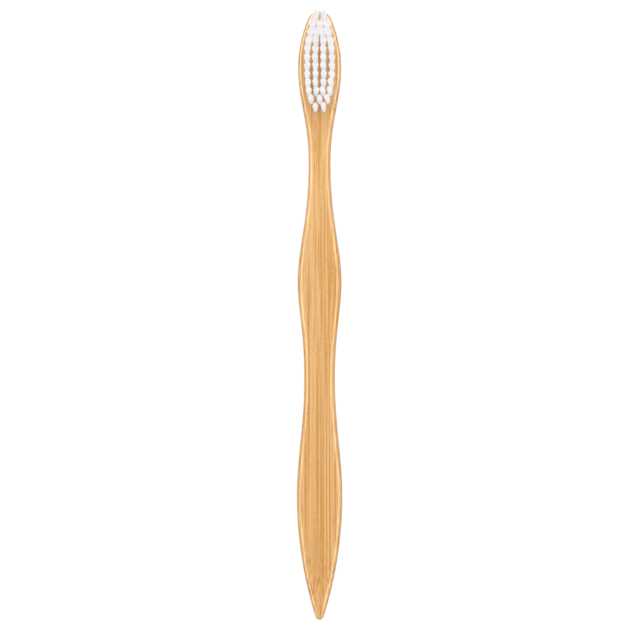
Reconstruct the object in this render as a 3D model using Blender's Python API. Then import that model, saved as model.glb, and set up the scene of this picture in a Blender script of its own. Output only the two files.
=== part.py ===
"""Bamboo toothbrush: one milled handle, bristle tufts and the metal anchors that hold them.

Units are metres. The brush lies on its flat back: +Y points to the head, +Z the way the bristles
point. The origin is at the middle of the length and width, at the level of the grip's back.
"""
import math

import bmesh
import bpy
import numpy as np
from mathutils import Matrix, Vector

MM = 0.001

# Handle, seen from the front
# Each run is the distance along the handle from one wide or narrow place to the next, tail first.
TAIL_RUN = 38.8 * MM
GRIP_RUN = 35.5 * MM
THUMB_RUN = 31.4 * MM
NECK_RUN = 37.8 * MM
HEAD_RUN = 28.5 * MM
CROWN_RUN = 18.0 * MM
GRIP_WIDTH = 14.2 * MM
WAIST_WIDTH = 9.6 * MM
THUMB_WIDTH = 13.7 * MM
NECK_WIDTH = 6.9 * MM
HEAD_WIDTH = 13.5 * MM
TAIL_NOSE = 1.35 * MM
CROWN_NOSE = 4.0 * MM

# How each flank eases from its narrow place to its wide one: 1 is even, more stays narrow longer
GRIP_EASE = 1.04
THUMB_EASE = 1.3
NECK_EASE = 1.3
HEAD_EASE = 1.14

# Handle, seen from the side
GRIP_THICKNESS = 6.0 * MM
HEAD_THICKNESS = 5.0 * MM
EDGE_RADIUS = 1.6 * MM

# Bristle field: tufts in each row, from the toe of the head to its heel
TUFTS_IN_ROW = (2, 3, 4, 4, 4, 4, 4, 4, 4, 4, 3, 2)
ROW_PITCH = 2.5 * MM
TUFT_PITCH = 2.6 * MM

# Tuft holes, drilled from the front, with the least wood left round and under them
HOLE_DIAMETER = 1.7 * MM
DRILL_POINT = 0.4 * MM
HOLE_FLOOR = 1.3 * MM
HOLE_WALL = 0.15 * MM
SIDE_STRIP = 0.25 * MM
TOE_STRIP = 0.85 * MM

# Tufts: strands in rows across a packed root, which is folded round its anchor
BRISTLE_HEIGHT = 10.5 * MM
TUFT_CLEARANCE = 0.1 * MM
STRANDS_IN_ROW = (3, 4, 3)
STRAND_WIDTH = 0.255 * MM
STRAND_MARGIN = 0.03 * MM
TIP_SPREAD = 1.1
FOLD_THICKNESS = 0.4 * MM

# Anchors: flat chips across the holes
ANCHOR_THICKNESS = 0.25 * MM
ANCHOR_HEIGHT = 1.2 * MM
ANCHOR_CLEARANCE = 0.06 * MM
ANCHORED_ROWS = 5

# How finely the round shapes are faceted
NOSE_POINTS = 5
ARC_POINTS = 6
FLANK_POINTS = 7
RIM_POINTS = 4
HOLE_SIDES = 12
ROOT_SIDES = 8

# The rounded edge stops short of the handle's middle where the wood is narrower or thinner than it
RIM_REACH = 0.8
SMOOTH_ANGLE = math.radians(35)

LENGTH = TAIL_RUN + GRIP_RUN + THUMB_RUN + NECK_RUN + HEAD_RUN + CROWN_RUN
FRONT = GRIP_THICKNESS
HOLE_DEPTH = HEAD_THICKNESS - HOLE_FLOOR - DRILL_POINT
RIM_RADIUS = min(EDGE_RADIUS, RIM_REACH * min(HEAD_THICKNESS, GRIP_THICKNESS) / 2)


def clear_scene():
    """Remove every object, so that the script can be run again in the same file."""
    for obj in list(bpy.data.objects):
        bpy.data.objects.remove(obj, do_unlink=True)


def finish(name, color, roughness, metallic=0.0):
    """Make a plain Principled material."""
    material = bpy.data.materials.new(name)
    material.use_nodes = True
    shader = material.node_tree.nodes["Principled BSDF"]
    shader.inputs["Base Color"].default_value = (*color, 1.0)
    shader.inputs["Roughness"].default_value = roughness
    shader.inputs["Metallic"].default_value = metallic
    material.diffuse_color = (*color, 1.0)
    return material


def add_object(name, mesh, material, parent=None, location=(0.0, 0.0, 0.0)):
    """Link a mesh into the scene as one named sub-part."""
    obj = bpy.data.objects.new(name, mesh)
    bpy.context.scene.collection.objects.link(obj)
    if not mesh.materials:
        mesh.materials.append(material)
    obj.parent = parent
    obj.location = location
    return obj


def to_mesh(name, bm):
    """Turn a bmesh into a smooth-shaded mesh whose sharp corners stay sharp."""
    bmesh.ops.recalc_face_normals(bm, faces=bm.faces)
    mesh = bpy.data.meshes.new(name)
    bm.to_mesh(mesh)
    bm.free()
    mesh.shade_smooth()
    mesh.set_sharp_from_angle(angle=SMOOTH_ANGLE)
    return mesh


def smoothstep(t):
    """Ease from 0 to 1 with level ends."""
    return t * t * (3.0 - 2.0 * t)


def end_joint(run, wide, nose):
    """A rounded end's long arc as (radius, distance from the tip at which its nose circle meets it)."""
    radius = ((run - nose) ** 2 + wide ** 2 - nose ** 2) / (2 * (wide - nose))
    return radius, nose - nose * (run - nose) / (radius - nose)


def end_half_width(distance, run, wide, nose):
    """Half width near a rounded end, at a distance from its tip.

    A nose circle meets a long arc, which lies level where the end is at its widest.
    """
    radius, joint = end_joint(run, wide, nose)
    if distance < joint:
        return math.sqrt(max(nose ** 2 - (nose - distance) ** 2, 0.0))
    return math.sqrt(radius ** 2 - (run - distance) ** 2) - (radius - wide)


def half_width(s):
    """Half of the handle's width at the distance s from its tail end."""
    if s <= TAIL_RUN:
        return end_half_width(s, TAIL_RUN, GRIP_WIDTH / 2, TAIL_NOSE)
    flanks = (
        (GRIP_RUN, GRIP_WIDTH, WAIST_WIDTH, GRIP_EASE),
        (THUMB_RUN, WAIST_WIDTH, THUMB_WIDTH, THUMB_EASE),
        (NECK_RUN, THUMB_WIDTH, NECK_WIDTH, NECK_EASE),
        (HEAD_RUN, NECK_WIDTH, HEAD_WIDTH, HEAD_EASE),
    )
    start = TAIL_RUN
    for run, first, last, ease in flanks:
        if s <= start + run:
            narrow, wide = sorted((first, last))
            along = min((s - start) / run, 1.0)
            from_narrow = along if first <= last else 1.0 - along
            return (narrow + (wide - narrow) * smoothstep(from_narrow ** ease)) / 2
        start += run
    return end_half_width(LENGTH - s, CROWN_RUN, HEAD_WIDTH / 2, CROWN_NOSE)


def back_level(s):
    """Height of the back: level under the grip, then rising through the neck to the thinner head."""
    start = TAIL_RUN + GRIP_RUN + THUMB_RUN
    along = min(max((s - start) / NECK_RUN, 0.0), 1.0)
    return (GRIP_THICKNESS - HEAD_THICKNESS) * smoothstep(along)


def end_places(run, wide, nose):
    """Distances from a rounded end's tip at which its outline has a point: dense round the nose."""
    joint = end_joint(run, wide, nose)[1]
    turn = math.acos(1.0 - joint / nose)
    places = [nose * (1.0 - math.cos(a)) for a in np.linspace(0.0, turn, NOSE_POINTS + 1)]
    return places + list(np.linspace(joint, run, ARC_POINTS + 1)[1:])


def stations():
    """Distances along the handle at which its outline has a point, from the tail to the crown."""
    places = end_places(TAIL_RUN, GRIP_WIDTH / 2, TAIL_NOSE)
    start = TAIL_RUN
    for run in (GRIP_RUN, THUMB_RUN, NECK_RUN, HEAD_RUN):
        places += list(np.linspace(start, start + run, FLANK_POINTS + 1)[1:])
        start += run
    crown = end_places(CROWN_RUN, HEAD_WIDTH / 2, CROWN_NOSE)
    return places + [LENGTH - distance for distance in reversed(crown[:-1])]


def outline():
    """Points of the right-hand side with their outward normals, from the tail to the crown."""
    points = [Vector((half_width(s), s)) for s in stations()]
    points[0].x = 0.0
    points[-1].x = 0.0
    edge = []
    for index, point in enumerate(points):
        if index == 0:
            normal = Vector((0.0, -1.0))
        elif index == len(points) - 1:
            normal = Vector((0.0, 1.0))
        else:
            before = (point - points[index - 1]).normalized()
            after = (points[index + 1] - point).normalized()
            tangent = (before + after).normalized()
            normal = Vector((tangent.y, -tangent.x))
        edge.append((point, normal))
    return edge


def inset_point(point, normal, inset):
    """Move an outline point inwards, stopping short of the middle line."""
    if point.x > 0.0:
        room = point.x / normal.x
    else:
        room = TAIL_NOSE if normal.y < 0.0 else CROWN_NOSE
    return point - normal * min(inset, RIM_REACH * room)


def rim_steps():
    """The rounded edge as (inset, height from the corner), from the flat face to the side."""
    angles = np.linspace(0.0, math.pi / 2, RIM_POINTS + 1)
    return [(RIM_RADIUS * (1.0 - math.sin(a)), RIM_RADIUS * (1.0 - math.cos(a))) for a in angles]


def outline_loop(bm, edge, inset, level):
    """Add one closed loop of vertices round the handle; level gives the height at s."""
    loop = []
    sides = [(point, normal, 1.0) for point, normal in edge]
    sides += [(point, normal, -1.0) for point, normal in reversed(edge[1:-1])]
    for point, normal, side in sides:
        moved = inset_point(point, normal, inset)
        position = (side * moved.x, moved.y - LENGTH / 2, level(point.y))
        loop.append(bm.verts.new(position))
    return loop


def back_strips(bm, loop):
    """Close the back with a strip between each pair of mirrored points, because it isn't all level."""
    count = len(loop)
    bm.faces.new((loop[0], loop[1], loop[count - 1]))
    for index in range(1, count // 2 - 1):
        bm.faces.new((loop[index], loop[index + 1], loop[count - index - 1], loop[count - index]))
    middle = count // 2
    bm.faces.new((loop[middle - 1], loop[middle], loop[middle + 1]))


def handle_mesh():
    """The handle's solid before drilling: stacked outlines with a rounded edge front and back."""
    bm = bmesh.new()
    edge = outline()
    loops = []
    for inset, height in rim_steps():
        loops.append(outline_loop(bm, edge, inset, lambda s, h=height: back_level(s) + h))
    for inset, height in reversed(rim_steps()):
        loops.append(outline_loop(bm, edge, inset, lambda s, h=height: FRONT - h))
    for lower, upper in zip(loops, loops[1:]):
        for index, vertex in enumerate(lower):
            after = (index + 1) % len(lower)
            bm.faces.new((vertex, lower[after], upper[after], upper[index]))
    back_strips(bm, loops[0])
    bm.faces.new(loops[-1])
    return to_mesh("handle", bm)


def tuft_places():
    """Centres of the tuft holes as (row, column, x, y), rows counted from the toe."""
    places = []
    edge_to_hole = RIM_RADIUS + HOLE_DIAMETER / 2
    toe = LENGTH - edge_to_hole - TOE_STRIP
    for row, wanted in enumerate(TUFTS_IN_ROW, start=1):
        s = toe - (row - 1) * ROW_PITCH
        room = half_width(s) - edge_to_hole - SIDE_STRIP
        count = min(wanted, 1 + int(2 * room / (HOLE_DIAMETER + HOLE_WALL)))
        half_span = min((count - 1) / 2 * TUFT_PITCH, room)
        for column, x in enumerate(np.linspace(-half_span, half_span, count), start=1):
            places.append((row, column, float(x), s - LENGTH / 2))
    return places


def drill_mesh(places):
    """One cutter with a pointed drill at each place."""
    bm = bmesh.new()
    above = EDGE_RADIUS
    for _row, _column, x, y in places:
        body_depth = HOLE_DEPTH + above
        body_centre = Vector((x, y, FRONT + above - body_depth / 2))
        body = bmesh.ops.create_cone(
            bm,
            cap_ends=True,
            segments=HOLE_SIDES,
            radius1=HOLE_DIAMETER / 2,
            radius2=HOLE_DIAMETER / 2,
            depth=body_depth,
            matrix=Matrix.Translation(body_centre),
        )
        faces = [face for vertex in body["verts"] for face in vertex.link_faces]
        floor = min(faces, key=lambda face: face.calc_center_median().z)
        tip = bmesh.ops.poke(bm, faces=[floor])["verts"]
        bmesh.ops.translate(bm, verts=tip, vec=(0.0, 0.0, -DRILL_POINT))
    return to_mesh("drills", bm)


def drill(handle, places, material):
    """Cut every tuft hole out of the handle."""
    cutter = add_object("drills", drill_mesh(places), material)
    cutter.hide_render = True
    cutter.display_type = "WIRE"
    cut = handle.modifiers.new("tuft holes", "BOOLEAN")
    cut.operation = "DIFFERENCE"
    cut.solver = "EXACT"
    cut.object = cutter


def root_radius():
    """Radius of a tuft where it is packed in its hole, at the root's corners."""
    return HOLE_DIAMETER / 2 - TUFT_CLEARANCE


def fold_floor():
    """Height of the underside of a tuft's fold, measured from its hole's mouth."""
    return -HOLE_DEPTH + TUFT_CLEARANCE


def anchor_floor():
    """Height of an anchor's lower edge, measured from its hole's mouth."""
    return fold_floor() + FOLD_THICKNESS + ANCHOR_CLEARANCE


def root_top():
    """Height at which the packed root parts into strands, a fold's thickness over the anchor."""
    return anchor_floor() + ANCHOR_HEIGHT + ANCHOR_CLEARANCE + FOLD_THICKNESS


def strand_places():
    """Where the strands leave a root: staggered rows, the widest reaching its flat sides."""
    flat_side = root_radius() * math.cos(math.pi / ROOT_SIDES)
    reach = flat_side - STRAND_WIDTH / 2 - STRAND_MARGIN
    across = 2 * reach / (max(STRANDS_IN_ROW) - 1)
    along = across * math.sin(math.pi / 3)
    places = []
    for row, count in enumerate(STRANDS_IN_ROW):
        y = (row - (len(STRANDS_IN_ROW) - 1) / 2) * along
        for column in range(count):
            places.append(((column - (count - 1) / 2) * across, y))
    return places


def ring_edges(made):
    """The edges of a ring that has just been added, each once and in order."""
    return list(dict.fromkeys(edge for vertex in made["verts"] for edge in vertex.link_edges))


def raise_edges(bm, edges, height):
    """Extrude a ring of edges straight up into a wall and give the new upper ring's edges."""
    made = bmesh.ops.extrude_edge_only(bm, edges=edges)["geom"]
    corners = [item for item in made if isinstance(item, bmesh.types.BMVert)]
    bmesh.ops.translate(bm, verts=corners, vec=(0.0, 0.0, height))
    return [item for item in made if isinstance(item, bmesh.types.BMEdge) and item.is_boundary]


def add_root(bm):
    """Add a tuft's packed root as an open drum with a flat face along each side of the head."""
    flat_first = Matrix.Rotation(math.pi / ROOT_SIDES, 4, "Z")
    floor = Matrix.Translation((0.0, 0.0, fold_floor())) @ flat_first
    ring = ring_edges(bmesh.ops.create_circle(bm, segments=ROOT_SIDES, radius=root_radius(), matrix=floor))
    top = raise_edges(bm, ring, root_top() - fold_floor())
    bmesh.ops.contextual_create(bm, geom=ring)
    return top


def add_strands(bm, root_edges):
    """Close the root round the strands' feet and raise the strands, spread a little to their tips."""
    square = Matrix.Rotation(math.pi / 4, 4, "Z")
    feet = []
    for x, y in strand_places():
        place = Matrix.Translation((x, y, root_top())) @ square
        foot = bmesh.ops.create_circle(bm, segments=4, radius=STRAND_WIDTH / math.sqrt(2), matrix=place)
        feet.append(ring_edges(foot))
    every_edge = root_edges + [edge for foot in feet for edge in foot]
    bmesh.ops.triangle_fill(bm, use_beauty=True, edges=every_edge)
    for foot in feet:
        tip = raise_edges(bm, foot, BRISTLE_HEIGHT - root_top())
        bmesh.ops.contextual_create(bm, geom=tip)
        corners = list(dict.fromkeys(vertex for edge in tip for vertex in edge.verts))
        bmesh.ops.scale(bm, verts=corners, vec=(TIP_SPREAD, TIP_SPREAD, 1.0))


def open_eye(bm):
    """Open the space inside the fold where the anchor passes, right through the root."""
    half = ANCHOR_THICKNESS / 2 + ANCHOR_CLEARANCE
    low = fold_floor() + FOLD_THICKNESS
    high = root_top() - FOLD_THICKNESS
    bm.normal_update()
    sides = [face for face in bm.faces if abs(face.normal.y) > 0.99]
    walls = [face for face in sides if face.calc_center_median().z < root_top()]
    bmesh.ops.inset_individual(bm, faces=walls, thickness=ANCHOR_CLEARANCE)
    rims = []
    for wall in walls:
        middle = wall.calc_center_median().z
        for vertex in wall.verts:
            vertex.co.x = math.copysign(half, vertex.co.x)
            vertex.co.z = high if vertex.co.z > middle else low
        rims += list(wall.edges)
    bmesh.ops.delete(bm, geom=walls, context="FACES_ONLY")
    bmesh.ops.bridge_loops(bm, edges=rims)


def tuft_mesh():
    """One tuft as a single body: a folded root, the anchor's eye through it, and its strands."""
    bm = bmesh.new()
    root_edges = add_root(bm)
    add_strands(bm, root_edges)
    open_eye(bm)
    return to_mesh("tuft", bm)


def anchor_mesh():
    """One anchor: a flat chip that stands on edge across its hole, inside the fold."""
    bm = bmesh.new()
    length = HOLE_DIAMETER * math.cos(math.pi / HOLE_SIDES) - 2 * ANCHOR_CLEARANCE
    size = (ANCHOR_THICKNESS, length, ANCHOR_HEIGHT)
    centre = (0.0, 0.0, anchor_floor() + ANCHOR_HEIGHT / 2)
    bmesh.ops.create_cube(bm, size=1.0, matrix=Matrix.Translation(centre) @ Matrix.Diagonal((*size, 1.0)))
    return to_mesh("anchor", bm)


def build():
    """Make the whole brush."""
    clear_scene()
    bamboo = finish("bamboo", (0.77, 0.43, 0.17), 0.5)
    nylon = finish("nylon", (0.86, 0.86, 0.88), 0.4)
    wire = finish("anchor metal", (0.72, 0.58, 0.33), 0.3, metallic=1.0)

    places = tuft_places()
    handle = add_object("handle", handle_mesh(), bamboo)
    drill(handle, places, bamboo)

    face = bpy.data.objects.new("head face", None)
    bpy.context.scene.collection.objects.link(face)
    face.location = (0.0, 0.0, FRONT)
    tuft = tuft_mesh()
    anchor = anchor_mesh()
    for row, column, x, y in places:
        add_object(f"tuft_r{row:02d}_c{column}", tuft, nylon, parent=face, location=(x, y, 0.0))
        if row <= ANCHORED_ROWS:
            add_object(f"anchor_r{row:02d}_c{column}", anchor, wire, parent=face, location=(x, y, 0.0))


build()
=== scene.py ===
"""Looks of the bamboo toothbrush: its wood, its nylon filaments, their metal anchors and a pale studio.

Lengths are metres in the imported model's frame. +Y points to the head, +Z the way the bristles point,
and the flat back of the grip lies at height zero.
"""

import logging
import math
import random
from collections.abc import Sequence
from dataclasses import dataclass
from enum import Enum
from typing import Any

import bmesh
import bpy
from mathutils import Matrix, Vector, noise


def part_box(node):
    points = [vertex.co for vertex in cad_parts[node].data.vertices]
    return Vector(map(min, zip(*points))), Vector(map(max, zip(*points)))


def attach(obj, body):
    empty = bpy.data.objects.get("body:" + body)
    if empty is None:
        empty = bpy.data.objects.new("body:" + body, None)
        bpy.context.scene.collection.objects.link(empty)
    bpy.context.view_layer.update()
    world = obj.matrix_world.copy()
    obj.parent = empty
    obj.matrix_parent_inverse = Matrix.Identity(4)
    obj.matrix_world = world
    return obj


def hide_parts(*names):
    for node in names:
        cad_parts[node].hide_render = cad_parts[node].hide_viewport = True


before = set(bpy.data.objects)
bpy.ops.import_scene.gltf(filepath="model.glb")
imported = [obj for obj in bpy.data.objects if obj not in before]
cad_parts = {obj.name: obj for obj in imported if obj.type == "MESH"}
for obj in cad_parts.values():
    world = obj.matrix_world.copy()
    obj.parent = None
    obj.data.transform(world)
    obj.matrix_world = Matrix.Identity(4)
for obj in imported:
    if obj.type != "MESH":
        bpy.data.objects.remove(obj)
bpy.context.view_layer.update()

MM = 0.001
BODY = "root"
SEED = 20
SHARP_ANGLE = math.radians(35)
MERGE_DISTANCE = 0.001 * MM
EDGE = "edge"

Colour = tuple[float, float, float, float]
Span = tuple[float, float]
Window = tuple[float, float, float, float]

log = logging.getLogger("toothbrush")


class Face(Enum):
    """A broad face of the handle."""

    BACK = "back"
    FRONT = "front"


class Blend(Enum):
    """How one colour is laid over another."""

    MIX = "MIX"
    MULTIPLY = "MULTIPLY"


@dataclass(frozen=True)
class Layer:
    """One layer of a finish: noise with cells of a given size, and the levels its marks rise between.

    The shift moves the pattern, so that two of a size differ. The detail says how fine it goes.
    """

    cell: tuple[float, float, float]
    levels: Span = (0.0, 1.0)
    shift: float = 0.0
    detail: float = 2.0


class Wire:
    """A value or colour on its way through a material, on which arithmetic adds Math nodes."""

    def __init__(self, graph: "Graph", socket: bpy.types.NodeSocket) -> None:
        """Keep the socket that the value comes out of, and the graph it belongs to."""
        self.graph = graph
        self.socket = socket

    def _math(self, operation: str, first: Any, second: Any) -> "Wire":
        """Add one Math node."""
        return self.graph.node("ShaderNodeMath", {"operation": operation}, {0: first, 1: second})

    def __add__(self, other: Any) -> "Wire":
        """Give self + other."""
        return self._math("ADD", self, other)

    def __radd__(self, other: Any) -> "Wire":
        """Give other + self."""
        return self._math("ADD", other, self)

    def __sub__(self, other: Any) -> "Wire":
        """Give self - other."""
        return self._math("SUBTRACT", self, other)

    def __rsub__(self, other: Any) -> "Wire":
        """Give other - self."""
        return self._math("SUBTRACT", other, self)

    def __mul__(self, other: Any) -> "Wire":
        """Give self * other."""
        return self._math("MULTIPLY", self, other)

    def __rmul__(self, other: Any) -> "Wire":
        """Give other * self."""
        return self._math("MULTIPLY", other, self)


class Graph:
    """The nodes of one material."""

    def __init__(self, name: str) -> None:
        """Start a material that holds one Principled shader.

        Args:
            name: the material's name.
        """
        self.material = bpy.data.materials.new(name)
        self.material.use_nodes = True
        self.tree = self.material.node_tree
        self.shader = self.tree.nodes["Principled BSDF"]

    def _feed(self, socket: bpy.types.NodeSocket, value: Any) -> None:
        """Give a socket what it takes.

        Args:
            socket: the socket.
            value: a wire or a plain value.
        """
        if isinstance(value, Wire):
            self.tree.links.new(value.socket, socket)
        else:
            socket.default_value = value

    def node(
        self,
        kind: str,
        settings: dict[str, Any],
        inputs: dict[int | str, Any],
        output: str | None = None,
    ) -> Wire:
        """Add one node.

        Args:
            kind: the node's type, such as ShaderNodeMath.
            settings: its properties, such as a Math node's operation, set first.
            inputs: values or wires by the name or number of the sockets in use.
            output: the name of the output in use, if it isn't the first.

        Returns:
            The wire that comes out.
        """
        made = self.tree.nodes.new(kind)
        for key, value in settings.items():
            setattr(made, key, value)
        sockets = [socket for socket in made.inputs if socket.enabled]
        for key, value in inputs.items():
            if isinstance(key, int):
                self._feed(sockets[key], value)
            else:
                self._feed(next(socket for socket in sockets if socket.name == key), value)
        outputs = [socket for socket in made.outputs if socket.enabled]
        return Wire(self, next(socket for socket in outputs if output in (None, socket.name)))

    def place(self) -> Wire:
        """The point on the object, in metres."""
        return self.node("ShaderNodeTexCoord", {}, {}, output="Object")

    def coordinate(self, axis: str) -> Wire:
        """One coordinate of the point on the object."""
        return self.node("ShaderNodeSeparateXYZ", {}, {"Vector": self.place()}, output=axis)

    def attribute(self, name: str) -> Wire:
        """A number that the piece's mesh holds at each vertex."""
        return self.node("ShaderNodeAttribute", {"attribute_name": name}, {}, output="Fac")

    def scaled(self, place: Wire, cell: Sequence[float], shift: float = 0.0) -> Wire:
        """A point counted in cells of the given size, and shifted by some cells."""
        inputs = {"Vector": place, "Location": (shift,) * 3, "Scale": tuple(1.0 / size for size in cell)}
        return self.node("ShaderNodeMapping", {}, inputs)

    def stretched_noise(self, place: Wire, layer: Layer) -> Wire:
        """Read a layer's noise.

        Args:
            place: the point it is read at.
            layer: the layer.

        Returns:
            The noise, from 0 to 1 and mostly near a half.
        """
        cells = self.scaled(place, layer.cell, layer.shift)
        inputs = {"Vector": cells, "Scale": 1.0, "Detail": layer.detail}
        return self.node("ShaderNodeTexNoise", {}, inputs)

    def marks(self, place: Wire, layer: Layer) -> Wire:
        """A layer's marks, 0 where its noise is below its levels and 1 where it is above them."""
        return self.step(self.stretched_noise(place, layer), *layer.levels)

    def step(self, value: Wire, low: float, high: float) -> Wire:
        """Rise smoothly from 0 to 1 as the value goes from low to high."""
        inputs = {"Value": value, "From Min": low, "From Max": high, "To Min": 0.0, "To Max": 1.0}
        return self.node("ShaderNodeMapRange", {"interpolation_type": "SMOOTHSTEP"}, inputs)

    def inside(self, value: Wire, window: Window) -> Wire:
        """Rise from 0 to 1 between the window's first two numbers and fall back between its last two."""
        return self.step(value, *window[:2]) - self.step(value, *window[2:])

    def mix(self, amount: Any, below: Any, above: Any, blend: Blend = Blend.MIX) -> Wire:
        """Lay one colour over another."""
        settings = {"data_type": "RGBA", "blend_type": blend.value}
        return self.node("ShaderNodeMix", settings, {"Factor": amount, "A": below, "B": above})

    def bump(self, height: Wire, depth: float, strength: float) -> Wire:
        """Turn a height from 0 to 1 into a normal, as relief of the given depth in metres."""
        inputs = {"Height": height, "Distance": depth, "Strength": strength}
        return self.node("ShaderNodeBump", {}, inputs)

    def dress(self, **sockets: Any) -> bpy.types.Material:
        """Feed the shader.

        Args:
            sockets: wires or values by the sockets' names, with underscores for spaces.

        Returns:
            The finished material.
        """
        for name, value in sockets.items():
            self._feed(self.shader.inputs[name.replace("_", " ")], value)
        return self.material


def rgb(red: float, green: float, blue: float) -> Colour:
    """An opaque linear colour."""
    return (red, green, blue, 1.0)


def towards(share: Wire, start: Wire | float, end: Wire | float) -> Wire:
    """Go from one number to another as the share goes from 0 to 1."""
    return start + share * (end - start)


@dataclass(frozen=True)
class SandedBamboo:
    """Bamboo with its fibres along Y, sanded smooth and lightly oiled.

    A pair of weights holds for the wood off the grip and on it. The names that end in along say between
    which heights of Y something comes in, or comes in and goes out.
    """

    pale: Colour = rgb(0.76, 0.465, 0.215)
    honey: Colour = rgb(0.575, 0.268, 0.056)
    fibre: Colour = rgb(0.45, 0.17, 0.026)
    fleck: Colour = rgb(0.36, 0.15, 0.04)
    # side: multiplied over the lower rounded edge and the upright sides as painted shade, partly the
    # sides' own darker wood.
    side: Colour = rgb(0.735, 0.81, 0.95)
    sheen: Colour = rgb(1.0, 0.79, 0.44)

    bands: Layer = Layer((2.2 * MM, 60.0 * MM, 2.2 * MM), levels=(0.36, 0.64), shift=3.1)
    streaks: Layer = Layer((0.36 * MM, 24.0 * MM, 0.36 * MM), levels=(0.39, 0.61), shift=8.4)
    grip_streaks: Layer = Layer((0.26 * MM, 90.0 * MM, 0.26 * MM), levels=(0.4, 0.6), shift=4.9)
    fibres: Layer = Layer((0.25 * MM, 70.0 * MM, 0.25 * MM), levels=(0.4, 0.64), shift=1.7, detail=1.0)
    pores: Layer = Layer((0.26 * MM, 1.0 * MM, 0.26 * MM), levels=(0.35, 0.65), shift=6.2)
    veins: Layer = Layer((0.32 * MM, 28.0 * MM, 0.32 * MM), levels=(0.58, 0.7), shift=2.6)
    cuts: Layer = Layer((0.34 * MM, 3.2 * MM, 0.34 * MM), levels=(0.55, 0.72), shift=7.3, detail=0.0)
    fleck_patches: Layer = Layer((4.0 * MM, 18.0 * MM, 4.0 * MM), levels=(0.45, 0.65), shift=5.0)
    drift: Layer = Layer((9.0 * MM, 45.0 * MM, 9.0 * MM))

    grip_along: Span = (-28.0 * MM, 2.0 * MM)
    grip_straightness: float = 0.7
    wander: float = 0.8 * MM
    band_weights: Span = (0.2, 0.08)
    streak_weight: float = 0.35
    fibre_weights: Span = (0.3, 0.42)
    pore_weight: float = 0.15
    grain_levels: Span = (0.15, 0.85)
    vein_strength: float = 0.5
    thread_strength: float = 0.2

    # Paler wood painted where light falls: a painted sheen on the neck, painted light on the head and a
    # painted highlight at the tail's tip.
    neck_painted_sheen: float = 0.16
    neck_sheen_along: Window = (15.0 * MM, 35.0 * MM, 57.0 * MM, 68.0 * MM)
    toe_painted_light: float = 0.22
    toe_light_along: Span = (66.0 * MM, 76.0 * MM)
    tail_painted_highlight: float = 0.2
    tail_highlight_along: Span = (-94.0 * MM, -70.0 * MM)

    line_strength: float = 0.5
    line_across: Window = (-0.56 * MM, -0.35 * MM, -0.35 * MM, -0.14 * MM)
    line_along: Window = (28.0 * MM, 34.0 * MM, 45.0 * MM, 51.0 * MM)
    cut_strength: float = 0.75
    cut_along: Window = (-91.0 * MM, -86.0 * MM, -79.0 * MM, -73.0 * MM)
    fleck_strength: float = 0.5
    fleck_cell: tuple[float, float, float] = (1.0 * MM, 9.0 * MM, 1.0 * MM)
    fleck_size: Span = (0.1, 0.26)

    face_coat: float = 0.2
    edge_coat: float = 0.26
    head_coat: float = 0.64
    head_along: Span = (62.0 * MM, 80.0 * MM)
    side_coat: float = 0.1
    coat_roughness: float = 0.2
    coat_index: float = 1.8
    gloss: float = 1.0
    face_roughness: float = 0.2
    fibre_roughness: float = 0.1
    side_roughness: float = 0.35
    edge_levels: Span = (0.0, 0.06)
    side_shade_levels: Span = (0.25, 0.7)
    upright_levels: Span = (0.5, 0.95)
    relief: float = 0.008 * MM
    relief_strength: float = 0.6

    def make(self) -> bpy.types.Material:
        """Build the material.

        Returns:
            The handle's finish.
        """
        graph = Graph("sanded bamboo")
        grip = 1.0 - graph.step(graph.coordinate("Y"), *self.grip_along)
        place = self._wandering(graph, grip)
        height = graph.stretched_noise(place, self.fibres)
        fine = graph.step(height, *self.fibres.levels)
        edge = graph.attribute(EDGE)
        upright = graph.step(edge, *self.upright_levels)
        wood = self._wood(graph, place, grip, fine)
        return graph.dress(
            # Darker, greyer wood down the edge and on the upright sides: painted shade, partly darker
            # side wood.
            Base_Color=graph.mix(graph.step(edge, *self.side_shade_levels), wood, self.side, Blend.MULTIPLY),
            Roughness=self.face_roughness + self.fibre_roughness * fine + self.side_roughness * upright,
            Normal=graph.bump(height, self.relief, self.relief_strength),
            Specular_IOR_Level=self.gloss,
            Specular_Tint=self.sheen,
            Coat_Weight=self._coat(graph, edge, upright),
            Coat_Roughness=self.coat_roughness,
            Coat_IOR=self.coat_index,
        )

    def _wandering(self, graph: Graph, grip: Wire) -> Wire:
        """The point on the object, pushed sideways a little so that the fibres aren't ruled lines.

        Args:
            graph: the material's nodes.
            grip: 1 on the grip, where the fibres are straighter, and 0 off it.

        Returns:
            The point at which the grain is read.
        """
        reach = self.wander * (1.0 - grip * self.grip_straightness)
        drift = (graph.stretched_noise(graph.place(), self.drift) - 0.5) * reach
        push = graph.node("ShaderNodeCombineXYZ", {}, {"X": drift})
        return graph.node("ShaderNodeVectorMath", {"operation": "ADD"}, {0: graph.place(), 1: push})

    def _wood(self, graph: Graph, place: Wire, grip: Wire, fine: Wire) -> Wire:
        """The colour of the wood, from pale over honey to its darkest fibres.

        Args:
            graph: the material's nodes.
            place: the point at which the grain is read.
            grip: 1 on the grip and 0 off it.
            fine: 1 on the finest fibres.

        Returns:
            The colour.
        """
        bands = graph.marks(place, self.bands) * towards(grip, *self.band_weights)
        streaks = towards(grip, graph.marks(place, self.streaks), graph.marks(place, self.grip_streaks))
        grain = bands + streaks * self.streak_weight + fine * towards(grip, *self.fibre_weights)
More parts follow.
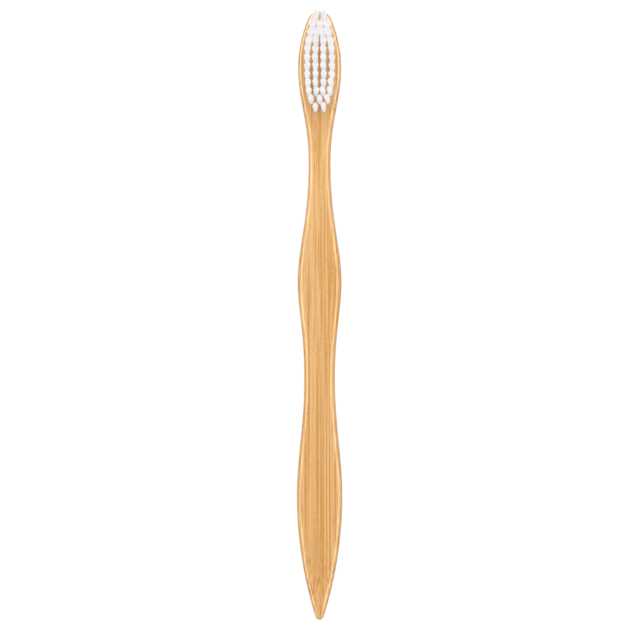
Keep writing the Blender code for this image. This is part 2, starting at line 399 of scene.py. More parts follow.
        # Taking off the paleness paints sheen, light and a highlight into the wood's colour.
        grain = grain + graph.marks(place, self.pores) * self.pore_weight - self._painted_paleness(graph)
        wood = graph.mix(graph.step(grain, *self.grain_levels), self.pale, self.honey)
        veins = graph.marks(place, self.veins) * self.vein_strength
        wood = graph.mix(veins + fine * streaks * self.thread_strength, wood, self.fibre)
        wood = graph.mix(self._dark_line(graph) * self.line_strength, wood, self.fibre)
        wood = graph.mix(self._flecks(graph, place) * self.fleck_strength, wood, self.fleck)
        return graph.mix(self._cut_fibres(graph, place) * self.cut_strength, wood, self.fibre)

    def _painted_paleness(self, graph: Graph) -> Wire:
        """How much paler the wood is painted along the neck, under the tufts and towards the tail's tip:
        a painted sheen on the neck, painted light on the head round the tufts and a painted highlight at
        the tail's tip.

        Args:
            graph: the material's nodes.

        Returns:
            What is taken off the grain.
        """
        along = graph.coordinate("Y")
        neck = graph.inside(along, self.neck_sheen_along)
        tail = 1.0 - graph.step(along, *self.tail_highlight_along)
        toe = graph.step(along, *self.toe_light_along)
        return neck * self.neck_painted_sheen + tail * self.tail_painted_highlight + toe * self.toe_painted_light

    def _dark_line(self, graph: Graph) -> Wire:
        """The one long dark fibre down the neck, a little to the left of its middle."""
        across = graph.inside(graph.coordinate("X"), self.line_across)
        return across * graph.inside(graph.coordinate("Y"), self.line_along)

    def _cut_fibres(self, graph: Graph, place: Wire) -> Wire:
        """Short dark fibres near the tail's tip, where its taper cuts across them."""
        return graph.marks(place, self.cuts) * graph.inside(graph.coordinate("Y"), self.cut_along)

    def _flecks(self, graph: Graph, place: Wire) -> Wire:
        """Short dark dashes where vessels are cut open, in patches.

        Args:
            graph: the material's nodes.
            place: the point at which the grain is read.

        Returns:
            1 on the dashes and 0 off them.
        """
        cells = graph.scaled(place, self.fleck_cell)
        distance = graph.node("ShaderNodeTexVoronoi", {}, {"Vector": cells, "Scale": 1.0})
        return (1.0 - graph.step(distance, *self.fleck_size)) * graph.marks(place, self.fleck_patches)

    def _coat(self, graph: Graph, edge: Wire, upright: Wire) -> Wire:
        """The oil's gloss: more on the rounded edge, most round the head, least on the upright sides.

        Args:
            graph: the material's nodes.
            edge: how far down the rounded edge a point lies.
            upright: 1 on the upright sides and 0 on the broad faces.

        Returns:
            The coat's weight.
        """
        edge_coat = self.edge_coat + graph.step(graph.coordinate("Y"), *self.head_along) * self.head_coat
        rise = graph.step(edge, *self.edge_levels) * (edge_coat - self.face_coat)
        fall = upright * (edge_coat - self.side_coat)
        return self.face_coat + rise - fall


@dataclass(frozen=True)
class ClearNylon:
    """White nylon filament, faintly cool, a little different from one filament to the next.

    Its faint glow is painted light: it stands for the light that a clear filament carries down from its
    tip, and lifts the shade on the tufts' sides.
    """

    white: Colour = rgb(0.55, 0.55, 0.555)
    shade: Colour = rgb(0.49, 0.485, 0.51)
    # The glow is painted light, an emission that lifts the tufts' shade.
    glow: Colour = rgb(0.95, 0.945, 0.955)
    painted_glow_strength: float = 0.372
    tones: Layer = Layer((0.25 * MM, 4.0 * MM, 4.0 * MM), levels=(0.35, 0.7))
    tone_strength: float = 0.8
    roughness: Span = (0.3, 0.4)

    def make(self) -> bpy.types.Material:
        """Build the material.

        Returns:
            The filaments' finish.
        """
        graph = Graph("white nylon")
        tone = graph.marks(graph.place(), self.tones)
        return graph.dress(
            Base_Color=graph.mix(tone * self.tone_strength, self.white, self.shade),
            Roughness=towards(tone, *self.roughness),
            Emission_Color=self.glow,
            Emission_Strength=self.painted_glow_strength,
        )


@dataclass(frozen=True)
class DrawnWire:
    """Bare flat brass wire with fine lines from drawing and a little tarnish."""

    bright: Colour = rgb(0.78, 0.62, 0.34)
    tarnish: Colour = rgb(0.42, 0.30, 0.15)
    lines: Layer = Layer((0.03 * MM, 1.2 * MM, 0.03 * MM))
    stains: Layer = Layer((0.4 * MM, 0.4 * MM, 0.4 * MM), levels=(0.5, 0.75))
    stain_strength: float = 0.6
    roughness: float = 0.22
    line_roughness: float = 0.2
    stain_roughness: float = 0.15
    relief: float = 0.004 * MM
    relief_strength: float = 0.5

    def make(self) -> bpy.types.Material:
        """Build the material.

        Returns:
            The anchors' finish.
        """
        graph = Graph("drawn brass wire")
        lines = graph.stretched_noise(graph.place(), self.lines)
        stain = graph.marks(graph.place(), self.stains)
        return graph.dress(
            Base_Color=graph.mix(stain * self.stain_strength, self.bright, self.tarnish),
            Roughness=self.roughness + self.line_roughness * lines + self.stain_roughness * stain,
            Normal=graph.bump(lines, self.relief, self.relief_strength),
            Metallic=1.0,
        )


@dataclass(frozen=True)
class PaperWhite:
    """The floor's white, lit from below as a light table is, so that the brush casts hardly any shadow.

    Its light fades to the room's grey towards the horizon.
    """

    white: Colour = rgb(0.22, 0.22, 0.22)
    soft: Colour = rgb(0.2, 0.2, 0.2)
    clouds: Layer = Layer((120.0 * MM, 120.0 * MM, 120.0 * MM))
    roughness: float = 0.9
    glow: float = 0.84
    near: Colour = rgb(1.0, 1.0, 1.0)
    far: Colour = rgb(0.3, 0.3, 0.3)
    fade: Span = (1.5, 11.0)

    def make(self) -> bpy.types.Material:
        """Build the material.

        Returns:
            The floor's finish.
        """
        graph = Graph("white paper")
        clouds = graph.stretched_noise(graph.place(), self.clouds)
        distance = graph.node("ShaderNodeVectorMath", {"operation": "LENGTH"}, {0: graph.place()})
        return graph.dress(
            Base_Color=graph.mix(clouds, self.white, self.soft),
            Roughness=self.roughness,
            Emission_Color=graph.mix(graph.step(distance, *self.fade), self.near, self.far),
            Emission_Strength=self.glow,
        )


def add_piece(
    name: str, bm: bmesh.types.BMesh, material: bpy.types.Material
) -> bpy.types.Object:
    """Turn a bmesh into a smooth-shaded piece that rides with the brush.

    Args:
        name: the piece's name.
        bm: its shape, which is freed.
        material: its finish.

    Returns:
        The finished piece.
    """
    bmesh.ops.recalc_face_normals(bm, faces=bm.faces)
    mesh = bpy.data.meshes.new(name)
    bm.to_mesh(mesh)
    bm.free()
    mesh.shade_smooth()
    mesh.set_sharp_from_angle(angle=SHARP_ANGLE)
    mesh.materials.append(material)
    piece = bpy.data.objects.new(name, mesh)
    bpy.context.scene.collection.objects.link(piece)
    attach(piece, BODY)
    return piece


def ring_edges(vertices: Sequence[bmesh.types.BMVert]) -> list[bmesh.types.BMEdge]:
    """Find a ring's own edges.

    Args:
        vertices: the ring's vertices.

    Returns:
        The edges that join them, each once and in order.
    """
    ring = set(vertices)
    edges = [edge for vertex in vertices for edge in vertex.link_edges]
    return [edge for edge in dict.fromkeys(edges) if ring.issuperset(edge.verts)]


def extrude_ring(
    bm: bmesh.types.BMesh, edges: Sequence[bmesh.types.BMEdge], move: Matrix
) -> list[bmesh.types.BMEdge]:
    """Extrude a closed ring of edges and move the new ring.

    Args:
        bm: the mesh.
        edges: the ring.
        move: what is done to the new ring.

    Returns:
        The new ring's edges.
    """
    made = bmesh.ops.extrude_edge_only(bm, edges=edges)["geom"]
    corners = [item for item in made if isinstance(item, bmesh.types.BMVert)]
    bmesh.ops.transform(bm, matrix=move, verts=corners)
    return ring_edges(corners)


def smoothstep(t: float) -> float:
    """Ease from 0 to 1 with level ends."""
    return t * t * (3.0 - 2.0 * t)


def eased(value: float, low: float, high: float) -> float:
    """Ease from 0 to 1 as the value goes from low to high."""
    return smoothstep(min(max((value - low) / (high - low), 0.0), 1.0))


@dataclass(frozen=True)
class RoundEnd:
    """A rounded end of the handle: a nose circle that meets a long arc, level where it is widest.

    The run is its length, wide its half width where it is widest, and nose the nose circle's radius.
    """

    run: float
    wide: float
    nose: float
    nose_steps: int = 14
    arc_steps: int = 34

    def arc_radius(self) -> float:
        """Radius of the long arc."""
        squares = (self.run - self.nose) ** 2 + self.wide**2 - self.nose**2
        return squares / (2 * (self.wide - self.nose))

    def joint(self) -> float:
        """Distance from the tip at which the nose circle meets the long arc."""
        return self.nose - self.nose * (self.run - self.nose) / (self.arc_radius() - self.nose)

    def half_width(self, distance: float) -> float:
        """Measure half of the width.

        Args:
            distance: how far from the tip.

        Returns:
            Half of the width there.
        """
        if distance < self.joint():
            return math.sqrt(max(self.nose**2 - (self.nose - distance) ** 2, 0.0))
        radius = self.arc_radius()
        return math.sqrt(radius**2 - (self.run - distance) ** 2) - (radius - self.wide)

    def places(self) -> list[float]:
        """Choose where the outline has a point, densely round the nose.

        Returns:
            Distances from the tip.
        """
        joint = self.joint()
        turn = math.acos(1.0 - joint / self.nose)
        angles = [turn * step / self.nose_steps for step in range(self.nose_steps + 1)]
        on_nose = [self.nose * (1.0 - math.cos(angle)) for angle in angles]
        length = self.run - joint
        on_arc = [joint + length * step / self.arc_steps for step in range(1, self.arc_steps + 1)]
        return on_nose + on_arc


@dataclass(frozen=True)
class Flank:
    """A stretch of the handle's side between a wide place and a narrow one.

    The run is its length, first and last the handle's widths at its ends, and an ease above 1 keeps it
    narrow for longer.
    """

    run: float
    first: float
    last: float
    ease: float
    steps: int = 36

    def half_width(self, along: float) -> float:
        """Measure half of the width.

        Args:
            along: the share of the way along.

        Returns:
            Half of the width there.
        """
        narrow, wide = sorted((self.first, self.last))
        from_narrow = along if self.first <= self.last else 1.0 - along
        return (narrow + (wide - narrow) * smoothstep(max(from_narrow, 0.0) ** self.ease)) / 2


@dataclass
class Handle:
    """The handle: one flat bamboo blank with a rounded edge, drilled for its tufts.

    From its round tail it goes over the grip to the waist, the thumb bulge, the neck and the head, which
    ends in a round crown. Each run is the length of the stretch that leads to the named place.
    Distances s are measured from the tail's tip.
    """

    grip_width: float = 14.2 * MM
    waist_width: float = 9.6 * MM
    bulge_width: float = 13.7 * MM
    neck_width: float = 6.9 * MM
    head_width: float = 13.5 * MM
    grip_run: float = 38.8 * MM
    waist_run: float = 35.5 * MM
    bulge_run: float = 31.4 * MM
    neck_run: float = 37.8 * MM
    head_run: float = 28.5 * MM
    crown_run: float = 18.0 * MM
    waist_ease: float = 1.04
    bulge_ease: float = 1.3
    neck_ease: float = 1.3
    head_ease: float = 1.14
    tail_nose: float = 1.35 * MM
    crown_nose: float = 4.0 * MM
    head_thickness: float = 5.0 * MM

    bevel_width: float = 1.5 * MM
    bevel_angle: float = math.radians(30)
    corner_radius: float = 0.8 * MM
    level_strip: float = 0.03 * MM
    edge_steps: int = 5
    edge_room: float = 0.75
    grip_edge: float = 1.15
    grip_edge_ends: Span = (105.7 * MM, 143.5 * MM)
    head_edge: float = 0.67
    head_edge_starts: Span = (148.0 * MM, 177.0 * MM)
    sanding: float = 0.05 * MM
    sanding_length: float = 11.0 * MM
    sanding_shift: float = 3.0

    hole_radius: float = 0.85 * MM
    hole_depth: float = 3.3 * MM
    hole_sides: int = 24
    drill_point: float = 0.4 * MM
    mouth_bevel: float = 0.03 * MM
    fill_scale: float = 1000.0

    def __post_init__(self) -> None:
        """Lay out the stretches, and take the handle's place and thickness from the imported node."""
        self.tail = RoundEnd(self.grip_run, self.grip_width / 2, self.tail_nose)
        self.flanks = (
            Flank(self.waist_run, self.grip_width, self.waist_width, self.waist_ease),
            Flank(self.bulge_run, self.waist_width, self.bulge_width, self.bulge_ease),
            Flank(self.neck_run, self.bulge_width, self.neck_width, self.neck_ease),
            Flank(self.head_run, self.neck_width, self.head_width, self.head_ease),
        )
        self.crown = RoundEnd(self.crown_run, self.head_width / 2, self.crown_nose)
        self.length = self.tail.run + sum(flank.run for flank in self.flanks) + self.crown.run
        low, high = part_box("handle")
        self.tail_tip = low.y
        self.front = high.z

    def build(self, mouths: Sequence[Vector], finish: bpy.types.Material) -> bpy.types.Object:
        """Make the handle.

        Args:
            mouths: centres of the tuft holes on the front face.
            finish: its material.

        Returns:
            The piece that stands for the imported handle.
        """
        bm = bmesh.new()
        self._draw_half(bm)
        everything = bm.verts[:] + bm.edges[:] + bm.faces[:]
        bmesh.ops.mirror(bm, geom=everything, axis="X", merge_dist=MERGE_DISTANCE)
        bmesh.ops.remove_doubles(bm, verts=bm.verts, dist=MERGE_DISTANCE)
        rim = [edge for edge in bm.edges if edge.is_boundary]
        self._sand(bm)
        mouth_edges = [edge for mouth in mouths for edge in self._open_hole(bm, mouth)]
        self._fill_front(bm, rim + mouth_edges)
        piece = add_piece("handle_bamboo", bm, finish)
        self._mark_edge(piece)
        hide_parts("handle")
        return piece

    def _half_width(self, s: float) -> float:
        """Measure half of the width.

        Args:
            s: distance from the tail's tip.

        Returns:
            Half of the width there.
        """
        if s <= self.tail.run:
            return self.tail.half_width(s)
        start = self.tail.run
        for flank in self.flanks:
            if s <= start + flank.run:
                return flank.half_width((s - start) / flank.run)
            start += flank.run
        return self.crown.half_width(self.length - s)

    def _stations(self) -> list[float]:
        """Choose where the outline has a point.

        Returns:
            Distances from the tail's tip.
        """
        places = self.tail.places()
        start = self.tail.run
        for flank in self.flanks:
            places += [start + flank.run * step / flank.steps for step in range(1, flank.steps + 1)]
            start += flank.run
        return places + [self.length - distance for distance in reversed(self.crown.places()[:-1])]

    def _outline(self) -> list[tuple[Vector, Vector, float]]:
        """Draw the right-hand side.

        Returns:
            Its points, their outward normals and the room behind them, up to the middle line.
        """
        points = [Vector((self._half_width(s), s)) for s in self._stations()]
        points[0].x = 0.0
        points[-1].x = 0.0
        outline = [(points[0], Vector((0.0, -1.0)), self.tail.nose)]
        for before, point, after in zip(points, points[1:], points[2:]):
            tangent = ((point - before).normalized() + (after - point).normalized()).normalized()
            outline.append((point, Vector((tangent.y, -tangent.x)), point.x / tangent.y))
        return outline + [(points[-1], Vector((0.0, 1.0)), self.crown.nose)]

    def _level(self, face: Face, s: float, depth: float) -> float:
        """Find the height of a point that lies a depth below one of the broad faces.

        Args:
            face: the face. The back rises along the stretch to the neck, so that the head is thinner.
            s: distance from the tail's tip.
            depth: how far the point lies below the face.

        Returns:
            The point's height.
        """
        if face is Face.FRONT:
            return self.front - depth
        bulge = self.grip_run + self.waist_run + self.bulge_run
        return (self.front - self.head_thickness) * eased(s, bulge, bulge + self.neck_run) + depth

    def _edge_profile(self) -> list[tuple[float, float]]:
        """Draw the rounded edge: a small round corner, a gentle bevel and a level strip.

        Returns:
            Its points as insets and depths, from the upright side to the broad face.
        """
        turn = self.bevel_angle
        bevel_radius = self.bevel_width / math.sin(turn)
        corner_width = self.corner_radius * (1.0 - math.sin(turn))
        bevel_depth = bevel_radius * (1.0 - math.cos(turn))
        steps = []
        for step in range(self.edge_steps):
            angle = math.pi / 2 - (math.pi / 2 - turn) * step / self.edge_steps
            depth = bevel_depth + self.corner_radius * (math.cos(turn) - math.cos(angle))
            steps.append((self.corner_radius * (1.0 - math.sin(angle)), depth))
        for step in range(self.edge_steps, -1, -1):
            angle = turn * step / self.edge_steps
            inset = corner_width + self.bevel_width - bevel_radius * math.sin(angle)
            steps.append((inset, bevel_radius * (1.0 - math.cos(angle))))
        return steps + [(corner_width + self.bevel_width + self.level_strip, 0.0)]

    def _edge_scale(self, s: float) -> float:
        """Size the rounded edge, which is wider on the grip than on the neck, and narrower on the head.

        Args:
            s: distance from the tail's tip.

        Returns:
            The edge's size there, as a share of the neck's.
        """
        wider = (self.grip_edge - 1.0) * (1.0 - eased(s, *self.grip_edge_ends))
        narrower = (1.0 - self.head_edge) * eased(s, *self.head_edge_starts)
        return 1.0 + wider - narrower

    def _chain_places(self, face: Face, inset: float, depth: float) -> list[Vector]:
        """Draw one line round the right-hand half.

        Args:
            face: the broad face it belongs to.
            inset: how far it lies in from the outline on the neck.
            depth: how far it lies below the face on the neck.

        Returns:
            The places of its points.
        """
        widest = self._edge_profile()[-1][0]
        places = []
        for point, normal, room in self._outline():
            scale = self._edge_scale(point.y)
            moved = point - normal * inset * min(scale, self.edge_room * room / widest)
            height = self._level(face, point.y, depth * scale)
            places.append(Vector((moved.x, self.tail_tip + moved.y, height)))
        return places

    def _draw_half(self, bm: bmesh.types.BMesh) -> None:
        """Draw the right-hand half as lines that are extruded from the back's middle to the front face.

        Args:
            bm: the empty mesh.
        """
        back = [(Face.BACK, inset, depth) for inset, depth in reversed(self._edge_profile())]
        front = [(Face.FRONT, inset, depth) for inset, depth in self._edge_profile()]
        first, *others = [self._chain_places(*line) for line in back + front]
        chain = [bm.verts.new((0.0, place.y, place.z)) for place in first]
        for pair in zip(chain, chain[1:]):
            bm.edges.new(pair)
        for places in [first, *others]:
            chain = self._extrude_chain(bm, chain, places)

    @staticmethod
    def _extrude_chain(
        bm: bmesh.types.BMesh, chain: Sequence[bmesh.types.BMVert], places: Sequence[Vector]
    ) -> list[bmesh.types.BMVert]:
        """Extrude an open chain of vertices.

        Args:
            bm: the mesh.
            chain: the vertices, in order.
            places: where the new vertices go.

        Returns:
            The new chain.
        """
        edges = [bm.edges.get(pair) for pair in zip(chain, chain[1:])]
        made = set(bmesh.ops.extrude_edge_only(bm, edges=edges)["geom"])
        moved = []
        for vertex, place in zip(chain, places):
            others = [edge.other_vert(vertex) for edge in vertex.link_edges]
            twin = next(other for other in others if other in made)
            twin.co = place
            moved.append(twin)
        return moved

    def _sand(self, bm: bmesh.types.BMesh) -> None:
        """Vary the rounded edge by hundredths of a millimetre, most halfway down, as hand sanding does.

        Args:
            bm: the whole handle's mesh.
        """
        for vertex in bm.verts:
            side = math.copysign(1.0, vertex.co.x)
            share = self._depth_share(vertex.co)
            bulge = 4.0 * share * (1.0 - share) * min(abs(vertex.co.x) / self.bevel_width, 1.0)
            along = vertex.co.y / self.sanding_length
            wave = noise.noise(Vector((side * self.sanding_shift, along, vertex.co.z / self.front)))
            vertex.co.x += side * bulge * wave * self.sanding

    def _depth_share(self, place: Vector) -> float:
        """Find how far a point lies down the rounded edge.

        Args:
            place: the point.

        Returns:
            A share from 0 on a broad face to 1 at the upright side.
        """
        s = place.y - self.tail_tip
        depth = min(self.front - place.z, place.z - self._level(Face.BACK, s, 0.0))
        whole = self._edge_profile()[0][1] * self._edge_scale(s)
        return min(max(depth / whole, 0.0), 1.0)

    def _mark_edge(self, piece: bpy.types.Object) -> None:
        """Keep on the mesh how far down the rounded edge each vertex lies, for the wood's finish.

        Args:
            piece: the handle.
        """
        mark = piece.data.attributes.new(EDGE, "FLOAT", "POINT")
        for vertex, value in zip(piece.data.vertices, mark.data):
            value.value = self._depth_share(vertex.co)

    def _fill_front(self, bm: bmesh.types.BMesh, edges: Sequence[bmesh.types.BMEdge]) -> None:
        """Close the front face round the holes, enlarged meanwhile because the fill joins close corners.

        Args:
            bm: the mesh.
            edges: the front face's rim and the mouths of its holes.
        """
        bmesh.ops.scale(bm, verts=bm.verts, vec=(self.fill_scale,) * 3)
        bmesh.ops.triangle_fill(bm, use_beauty=True, edges=edges, normal=(0.0, 0.0, 1.0))
        bmesh.ops.scale(bm, verts=bm.verts, vec=(1.0 / self.fill_scale,) * 3)

    def _open_hole(self, bm: bmesh.types.BMesh, mouth: Vector) -> list[bmesh.types.BMEdge]:
        """Add one drilled hole's wall below the front face.

        Args:
            bm: the mesh.
            mouth: the hole's centre on the front face.

        Returns:
            The edges of its mouth.
        """
        centre = Matrix.Translation((mouth.x, mouth.y, self.front))
        wide = self.hole_radius + self.mouth_bevel
        made = bmesh.ops.create_circle(bm, segments=self.hole_sides, radius=wide, matrix=centre)
        rim = ring_edges(made["verts"])
        narrow = self.hole_radius / wide
        inwards = Matrix.Diagonal((narrow, narrow, 1.0, 1.0))
        bevel = Matrix.Translation((0.0, 0.0, -self.mouth_bevel)) @ inwards
        edges = extrude_ring(bm, rim, centre @ bevel @ centre.inverted())
        down = Matrix.Translation((0.0, 0.0, self.mouth_bevel - self.hole_depth))
        edges = extrude_ring(bm, edges, down)
        floor = bmesh.ops.contextual_create(bm, geom=edges)["faces"]
        tip = bmesh.ops.poke(bm, faces=floor)["verts"]
        bmesh.ops.translate(bm, verts=tip, vec=(0.0, 0.0, -self.drill_point))
        return rim


@dataclass(frozen=True)
class TuftPlace:
    """Where one tuft stands: its row and column, counted from the toe, and its hole's mouth."""

    row: int
    column: int
    mouth: Vector

    @classmethod
    def from_node(cls, name: str, face: float) -> "TuftPlace":
        """Read a tuft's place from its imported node.

        Args:
            name: the node's name, such as tuft_r03_c2.
            face: height of the head's front face.

        Returns:
            The tuft's place.
        """
        low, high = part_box(name)
        row, column = name.removeprefix("tuft_r").split("_c")
        return cls(int(row), int(column), Vector(((low.x + high.x) / 2, (low.y + high.y) / 2, face)))

    def label(self) -> str:
        """The row and column as they stand in the nodes' names."""
        return f"r{self.row:02d}_c{self.column}"


@dataclass
class BristleTufts:
    """The tufts: nylon filaments folded in half round their anchors, so that each has two tips.

    A spread says how much further apart a tuft's tips are than its legs in the hole. The falloffs say
    how fast the toe's spread and splay fade towards the heel.
    """

    places: Sequence[TuftPlace]
    filament_radius: float = 0.075 * MM
    pitch: float = 0.152 * MM
    bundle_radius: float = 0.7 * MM
    sides: int = 5
    tip_width: float = 0.62
    tip_height: float = 0.45
    bow: float = 0.12

    fold_depth: float = 2.82 * MM
    fold_sag: float = 0.22 * MM
    fold_half_gap: float = 0.21 * MM
    fold_reach: float = 0.66 * MM
    anchor_top: float = 1.4 * MM

    first_row_spread: float = 0.3
    toe_spread: float = 0.72
    heel_spread: float = 0.22
    spread_falloff: float = 1.5
    toe_splay: float = 0.53 * MM
    splay_falloff: float = 10.0
    inward_lean: float = 0.055
    heel_side_lean: float = -0.15 * MM
    heel_lean: float = 0.3 * MM
    tuft_stray: float = 0.1 * MM
    stray: float = 0.04 * MM
    uneven: float = 0.05 * MM

    def __post_init__(self) -> None:
        """Take the bristles' height from a packed tuft."""
        first = self.places[0]
        self.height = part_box(f"tuft_{first.label()}")[1].z - first.mouth.z

    def build(self, finish: bpy.types.Material) -> list[bpy.types.Object]:
        """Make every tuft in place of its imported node.

        Args:
            finish: the filaments' material.

        Returns:
            The tufts.
        """
        pieces = []
        for place in self.places:
            tuft = self._draw_tuft(place)
            piece = add_piece(f"bristles_{place.label()}", tuft, finish)
            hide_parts(f"tuft_{place.label()}")
            pieces.append(piece)
        return pieces

    def _legs(self) -> list[tuple[Vector, Vector]]:
        """Pack the filaments' legs in the hole's mouth, like a honeycomb.

        Returns:
            Where each filament's right and left legs cross the mouth, from its centre.
        """
        rise = self.pitch * math.sin(math.pi / 3)
        rows = int(self.bundle_radius / rise)
        legs = []
        for row in range(-rows, rows + 1):
            reach = math.sqrt(self.bundle_radius**2 - (row * rise) ** 2)
            shift = 0.5 if row % 2 == 0 else 0.0
            steps = int(reach / self.pitch + shift)
            across = [(step - shift) * self.pitch for step in range(-steps, steps + 1)]
            inside = [Vector((x, row * rise, 0.0)) for x in across if abs(x) <= reach]
            # An odd leg has no partner, and goes from either end in turn.
            if len(inside) % 2:
                inside.pop(0 if row % 4 == 1 else -1)
            half = len(inside) // 2
            legs += zip(inside[half:], reversed(inside[:half]))
        return legs

    def _from_toe(self, place: TuftPlace) -> float:
        """A tuft's share of the way from the toe's row to the heel's."""
        return (place.row - 1) / (max(other.row for other in self.places) - 1)

    def _spread(self, place: TuftPlace) -> float:
        """Choose how far a tuft spreads: least at the heel, most in the rows behind the slim first one.

        Args:
            place: where the tuft stands.

        Returns:
            The spread, as a share of the bundle's width.
        """
        if place.row == 1:
            return self.first_row_spread
        toe_share = (1.0 - self._from_toe(place)) ** self.spread_falloff
        return self.heel_spread + (self.toe_spread - self.heel_spread) * toe_share

    def _lean(self, place: TuftPlace, chance: random.Random) -> Vector:
        """Choose how a tuft leans: inwards, to one side and towards the heel, but outwards at the toe.

        Args:
            place: where the tuft stands.
            chance: the tuft's source of chance.

        Returns:
            How far its tips stand off its hole.
        """
        toe_share = (1.0 - self._from_toe(place)) ** self.splay_falloff
        along = (self.toe_splay + self.heel_lean) * toe_share - self.heel_lean
        side = self.heel_side_lean * self._from_toe(place) - place.mouth.x * self.inward_lean
        return Vector((chance.gauss(side, self.tuft_stray), chance.gauss(along, self.tuft_stray), 0.0))

    def _leg_path(
        self, leg: Vector, side: float, lean: Vector, spread: float, chance: random.Random
    ) -> list[Vector]:
        """Draw one half of a filament, from its tip down to beside the anchor.

        Args:
            leg: where it crosses the hole's mouth.
            side: 1 to the right of the anchor and -1 to its left.
            lean: how far the tuft's tips stand off its hole.
            spread: how much further apart the tips are than the legs.
            chance: the tuft's source of chance.

        Returns:
            Its points, from the centre of the mouth.
        """
        off = Vector((chance.gauss(0.0, self.stray), chance.gauss(0.0, self.stray), 0.0))
        tip = leg * (1.0 + spread) + lean + off
        tip.z = self.height - abs(chance.gauss(0.0, self.uneven))
        shoulder = tip - Vector((0.0, 0.0, self.filament_radius * self.tip_height))
        middle = leg.lerp(tip, 0.5) - (leg * spread + lean) * self.bow
        share = abs(leg.x) / self.bundle_radius
        beside = side * (self.fold_half_gap + (self.fold_reach - self.fold_half_gap) * share)
        above_fold = Vector((beside, leg.y, -self.anchor_top))
        bend = Vector((beside, leg.y, -self.fold_depth + self.fold_sag))
        return [tip, shoulder, middle, leg, above_fold, bend]

    def _draw_tuft(self, place: TuftPlace) -> bmesh.types.BMesh:
        """Draw one tuft, different from the others but the same each run.

        Args:
            place: where it stands.

        Returns:
            Its mesh.
        """
        chance = random.Random(f"{SEED} {place.label()}")
        lean = self._lean(place, chance)
        spread = self._spread(place)
        bm = bmesh.new()
        for right_leg, left_leg in self._legs():
            right = self._leg_path(right_leg, 1.0, lean, spread, chance)
            left = self._leg_path(left_leg, -1.0, lean, spread, chance)
            sag = self.fold_sag * right_leg.x / self.bundle_radius
            bottom = Vector((0.0, right_leg.y, -self.fold_depth - sag))
            self._draw_filament(bm, [*right, bottom, *reversed(left)])
        bmesh.ops.translate(bm, verts=bm.verts, vec=place.mouth)
        return bm

    def _draw_filament(self, bm: bmesh.types.BMesh, path: Sequence[Vector]) -> None:
        """Draw one round filament with its two tips rounded off.

        Args:
            bm: the tuft's mesh.
            path: the points it follows, from tip to tip.
        """
        slim = self.filament_radius * self.tip_width
        radii = [slim] + [self.filament_radius] * (len(path) - 2) + [slim]
        stands = [self._stand(path, index, radius) for index, radius in enumerate(radii)]
        made = bmesh.ops.create_circle(
            bm, cap_ends=True, segments=self.sides, radius=1.0, matrix=stands[0]
        )
        edges = ring_edges(made["verts"])
        for stand, after in zip(stands, stands[1:]):
            edges = extrude_ring(bm, edges, after @ stand.inverted())
        bmesh.ops.contextual_create(bm, geom=edges)

    @staticmethod
    def _stand(path: Sequence[Vector], index: int, radius: float) -> Matrix:
        """Place a filament's ring.

        Args:
            path: the points that the filament follows.
            index: the ring's point.
            radius: the ring's radius.

        Returns:
            The place, direction and size of the ring.
        """
        before = path[max(index - 1, 0)]
        after = path[min(index + 1, len(path) - 1)]
        turn = (after - before).to_track_quat("Z", "Y")
        return Matrix.LocRotScale(path[index], turn, (radius, radius, radius))


@dataclass
class Anchors:
    """The metal anchors: flat chips pressed across the bottoms of the holes, inside the folds."""

    places: Sequence[TuftPlace]
    corner: float = 0.03 * MM

    def __post_init__(self) -> None:
        """Take a chip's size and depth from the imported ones."""
        model = self.places[0]
        low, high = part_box(f"anchor_{model.label()}")
        self.size = high - low
        self.offset = (low + high) / 2 - model.mouth

    def build(self, finish: bpy.types.Material) -> list[bpy.types.Object]:
        """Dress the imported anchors, and add one to each tuft whose anchor isn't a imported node.

        Args:
            finish: the anchors' material.

        Returns:
            The added anchors.
        """
        pieces = []
        for place in self.places:
            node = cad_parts.get(f"anchor_{place.label()}")
            if node:
                node.data.materials.clear()
                node.data.materials.append(finish)
            else:
                pieces.append(self._add_chip(place, finish))
        return pieces

    def _add_chip(self, place: TuftPlace, finish: bpy.types.Material) -> bpy.types.Object:
        """Add one chip with its corners broken.

        Args:
            place: the tuft it holds.
            finish: its material.

        Returns:
            The chip.
        """
        bm = bmesh.new()
        stand = Matrix.LocRotScale(place.mouth + self.offset, None, self.size)
        bmesh.ops.create_cube(bm, size=1.0, matrix=stand)
        bmesh.ops.bevel(
            bm,
            geom=bm.edges[:],
            offset=self.corner,
            affect="EDGES",
            segments=2,
            profile=0.5,
            material=-1,
        )
        return add_piece(f"anchor_chip_{place.label()}", bm, finish)


@dataclass(frozen=True)
class Softbox:
    """A flat lamp that hangs over the brush and faces it.

    It leans from above to the right, or to the left with a minus, by so many degrees, and stands forward
    towards the head by so many metres.
    """

    name: str
    width: float
    height: float
    from_above: float
    forward: float
    brightness: float
    distance: float = 0.6

    def hang(self, target: Vector) -> None:
        """Hang the lamp.

        Args:
            target: what it faces.
        """
        light = bpy.data.lights.new(self.name, "AREA")
        light.shape = "RECTANGLE"
        light.size = self.width
        light.size_y = self.height
        light.energy = math.pi * self.width * self.height * self.brightness
        tilt = math.radians(self.from_above)
        overhead = Vector((math.sin(tilt), 0.0, math.cos(tilt))) * self.distance
        place = overhead + Vector((0.0, self.forward, 0.0))
        lamp = bpy.data.objects.new(self.name, light)
        bpy.context.scene.collection.objects.link(lamp)
        lamp.location = target + place
        lamp.rotation_mode = "QUATERNION"
        lamp.rotation_quaternion = place.to_track_quat("Z", "Y")


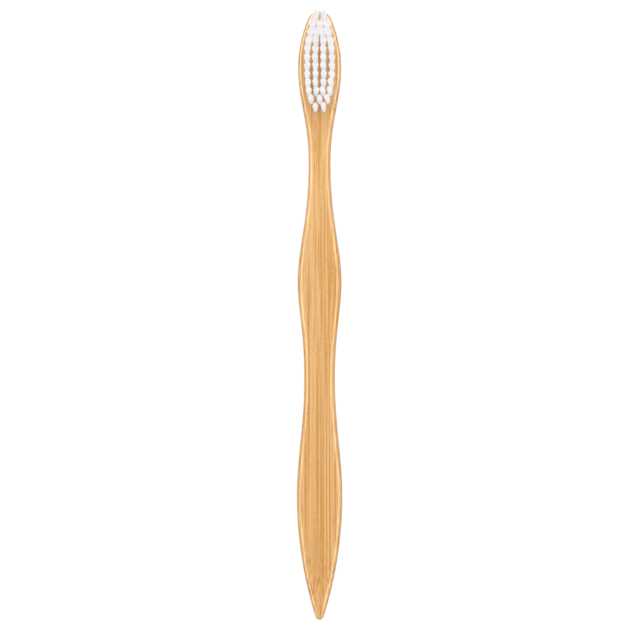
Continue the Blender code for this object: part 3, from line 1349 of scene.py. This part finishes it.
@dataclass
class Studio:
    """The pale floor, the soft light and the camera over the brush."""

    floor_size: float = 24.0
    floor_drop: float = 0.02 * MM
    lens: float = 74.0
    camera_height: float = 409.8 * MM
    camera_side: float = 0.12 * MM
    aim: float = -1.31 * MM
    room: Colour = rgb(1.0, 1.0, 1.0)
    room_brightness: float = 0.28
    softboxes: tuple[Softbox, ...] = (
        Softbox("right softbox", width=1.4, height=0.2, from_above=32.0, forward=0.1, brightness=3.65),
        Softbox("left softbox", width=1.4, height=0.17, from_above=-38.0, forward=0.1, brightness=3.9),
        Softbox("tail softbox", width=0.8, height=0.25, from_above=0.0, forward=-0.5, brightness=1.6),
        Softbox("head softbox", width=0.8, height=0.2, from_above=0.0, forward=0.5, brightness=1.4),
    )

    def set_camera(self, front: float) -> None:
        """Hang the camera over the brush, looking straight down.

        Args:
            front: height of the front face.
        """
        camera = bpy.data.objects.new("camera", bpy.data.cameras.new("camera"))
        bpy.context.scene.collection.objects.link(camera)
        camera.data.lens = self.lens
        camera.location = (self.camera_side, self.aim, front + self.camera_height)
        bpy.context.scene.camera = camera

    def lay_floor(self, finish: bpy.types.Material) -> None:
        """Lay the floor that the brush lies on.

        Args:
            finish: its material.
        """
        bm = bmesh.new()
        stand = Matrix.Translation((0.0, 0.0, -self.floor_drop))
        bmesh.ops.create_grid(bm, size=self.floor_size / 2, matrix=stand)
        mesh = bpy.data.meshes.new("floor")
        bm.to_mesh(mesh)
        bm.free()
        mesh.materials.append(finish)
        floor = bpy.data.objects.new("floor", mesh)
        bpy.context.scene.collection.objects.link(floor)

    def light(self, target: Vector) -> None:
        """Hang the softboxes, set the room's own light and show colours as they are.

        Args:
            target: what the softboxes face.
        """
        for softbox in self.softboxes:
            softbox.hang(target)
        world = bpy.data.worlds.new("room")
        world.use_nodes = True
        background = world.node_tree.nodes["Background"]
        background.inputs["Color"].default_value = self.room
        background.inputs["Strength"].default_value = self.room_brightness
        bpy.context.scene.world = world
        bpy.context.scene.view_settings.view_transform = "Standard"


def main() -> None:
    """Build the scene in order and report each piece."""
    logging.basicConfig(level=logging.INFO, format="%(name)s: %(message)s")
    handle = Handle()
    studio = Studio()
    studio.set_camera(handle.front)

    names = sorted(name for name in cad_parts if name.startswith("tuft_"))
    places = [TuftPlace.from_node(name, handle.front) for name in names]
    pieces = [handle.build([place.mouth for place in places], SandedBamboo().make())]
    pieces += BristleTufts(places).build(ClearNylon().make())
    pieces += Anchors(places).build(DrawnWire().make())
    for piece in pieces:
        log.info("%s has %d faces", piece.name, len(piece.data.polygons))

    studio.lay_floor(PaperWhite().make())
    studio.light(Vector((0.0, 0.0, handle.front)))


if __name__ == "__main__":
    main()
